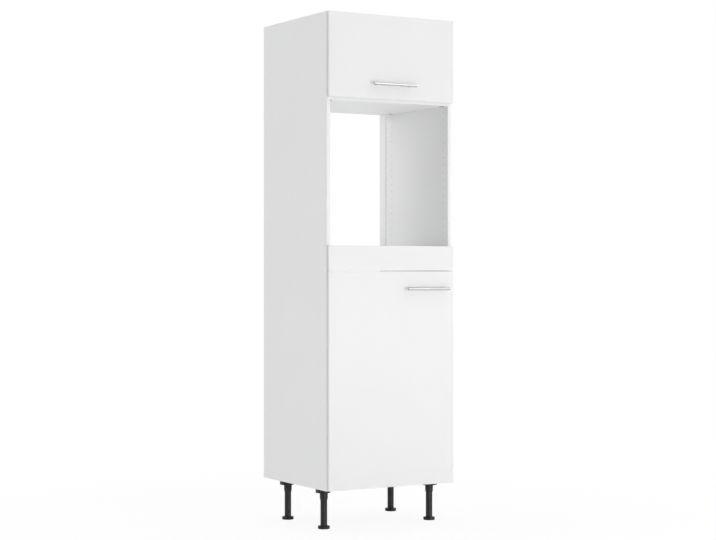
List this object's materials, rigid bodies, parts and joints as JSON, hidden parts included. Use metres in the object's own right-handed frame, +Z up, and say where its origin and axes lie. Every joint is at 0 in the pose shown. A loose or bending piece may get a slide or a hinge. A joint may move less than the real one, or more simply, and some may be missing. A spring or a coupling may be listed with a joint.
{
  "type": "appliance housing cabinet",
  "caption": "Tall white kitchen housing on black adjustable legs: lift-up flap on top, open oven niche, filler front and a tall hinged door with bar handles.",
  "frame": {"origin": "on the floor, at the middle of the cabinet's outline seen from above", "axes": "+Z up, +X to the right seen from the front, +Y to the rear, so the fronts face -Y"},
  "size_m": [0.6, 0.6066, 2.108],
  "materials": {
    "carcass_board": "white melamine-faced chipboard, fine satin grain",
    "front_board": "white laminated chipboard with matching edges, satin",
    "back_board": "white-lacquered thin fibreboard",
    "handle_steel": "brushed along the bar",
    "hinge_steel": "nickel-plated pressed steel",
    "zinc_fitting": "bare die-cast zinc",
    "cam_housing": "black moulded housing",
    "screw_steel": "zinc-plated",
    "dowel_wood": "bare beech",
    "leg_plastic": "black moulded plastic, fine texture",
    "stay_tube": "grey lacquer",
    "stay_rod": "hard chrome",
    "buffer_silicone": "clear silicone"
  },
  "bodies": {
    "carcass": {"bottom_panel": "carcass_board", "cam_bolts": "zinc_fitting", "cam_locks": "cam_housing", "carcass_screws": "screw_steel", "door_hinge_arm_lower": "hinge_steel", "door_hinge_arm_upper": "hinge_steel", "door_hinge_plate_lower": "hinge_steel", "door_hinge_plate_upper": "hinge_steel", "dowels": "dowel_wood", "fixed_front_panel": "front_board", "flap_hinge_arm_left": "hinge_steel", "flap_hinge_arm_right": "hinge_steel", "flap_hinge_plate_left": "hinge_steel", "flap_hinge_plate_right": "hinge_steel", "front_buffers": "buffer_silicone", "hinge_arm_screws": "screw_steel", "leg_socket_front_left": "leg_plastic", "leg_socket_front_right": "leg_plastic", "leg_socket_rear_left": "leg_plastic", "leg_socket_rear_right": "leg_plastic", "leg_tube_front_left": "leg_plastic", "leg_tube_front_right": "leg_plastic", "leg_tube_rear_left": "leg_plastic", "leg_tube_rear_right": "leg_plastic", "niche_ceiling_shelf": "carcass_board", "niche_floor_shelf": "carcass_board", "panel_bracket_left": "hinge_steel", "panel_bracket_right": "hinge_steel", "rear_rail": "carcass_board", "side_panel_left": "carcass_board", "side_panel_right": "carcass_board", "stay_side_bracket_left": "hinge_steel", "stay_side_bracket_right": "hinge_steel", "top_panel": "carcass_board", "upper_back_panel": "back_board"},
    "door": {"door_cup_screws": "screw_steel", "door_handle": "handle_steel", "door_handle_screws": "screw_steel", "door_hinge_cup_lower": "hinge_steel", "door_hinge_cup_upper": "hinge_steel", "door_hinge_pins": "hinge_steel", "door_panel": "front_board"},
    "flap": {"flap_handle": "handle_steel", "flap_handle_screws": "screw_steel", "flap_hinge_cup_left": "hinge_steel", "flap_hinge_cup_right": "hinge_steel", "flap_hinge_pins": "hinge_steel", "flap_panel": "front_board", "flap_screws": "screw_steel", "stay_flap_bracket_left": "hinge_steel", "stay_flap_bracket_right": "hinge_steel"},
    "foot_front_left": {"foot_front_left": "leg_plastic"},
    "foot_front_right": {"foot_front_right": "leg_plastic"},
    "foot_rear_left": {"foot_rear_left": "leg_plastic"},
    "foot_rear_right": {"foot_rear_right": "leg_plastic"},
    "stay_cylinder_left": {"stay_cylinder_left": "stay_tube"},
    "stay_cylinder_right": {"stay_cylinder_right": "stay_tube"},
    "stay_rod_left": {"stay_rod_left": "stay_rod"},
    "stay_rod_right": {"stay_rod_right": "stay_rod"}
  },
  "joints": [
    {"name": "door_swing", "type": "hinge", "parent": "carcass", "child": "door", "pos_m": [-0.2915, -0.26565, 0.6115], "axis": [0, 0, -1], "range_deg": [0, 95]},
    {"name": "flap_lift", "type": "hinge", "parent": "carcass", "child": "flap", "pos_m": [0, -0.26565, 2.0995], "axis": [-1, 0, 0], "range_deg": [0, 90]},
    {"name": "stay_cylinder_left_pivot", "type": "hinge", "parent": "carcass", "child": "stay_cylinder_left", "pos_m": [-0.27, -0.11944, 2.066], "axis": [-1, 0, 0], "range_deg": [0, 45]},
    {"name": "stay_rod_left_pivot", "type": "hinge", "parent": "flap", "child": "stay_rod_left", "pos_m": [-0.27, -0.24125, 1.9515], "axis": [-1, 0, 0], "range_deg": [-45, 0]},
    {"name": "stay_cylinder_right_pivot", "type": "hinge", "parent": "carcass", "child": "stay_cylinder_right", "pos_m": [0.27, -0.11944, 2.066], "axis": [-1, 0, 0], "range_deg": [0, 45]},
    {"name": "stay_rod_right_pivot", "type": "hinge", "parent": "flap", "child": "stay_rod_right", "pos_m": [0.27, -0.24125, 1.9515], "axis": [-1, 0, 0], "range_deg": [-45, 0]},
    {"name": "foot_front_left_adjust", "type": "slide", "parent": "carcass", "child": "foot_front_left", "axis": [0, 0, -1], "range_m": [0, 0.025]},
    {"name": "foot_front_right_adjust", "type": "slide", "parent": "carcass", "child": "foot_front_right", "axis": [0, 0, -1], "range_m": [0, 0.025]},
    {"name": "foot_rear_left_adjust", "type": "slide", "parent": "carcass", "child": "foot_rear_left", "axis": [0, 0, -1], "range_m": [0, 0.025]},
    {"name": "foot_rear_right_adjust", "type": "slide", "parent": "carcass", "child": "foot_rear_right", "axis": [0, 0, -1], "range_m": [0, 0.025]}
  ],
  "couplings": [
    {"joint": "stay_cylinder_left_pivot", "follows": "flap_lift", "ratio": 0.5},
    {"joint": "stay_rod_left_pivot", "follows": "flap_lift", "ratio": -0.5},
    {"joint": "stay_cylinder_right_pivot", "follows": "flap_lift", "ratio": 0.5},
    {"joint": "stay_rod_right_pivot", "follows": "flap_lift", "ratio": -0.5}
  ]
}
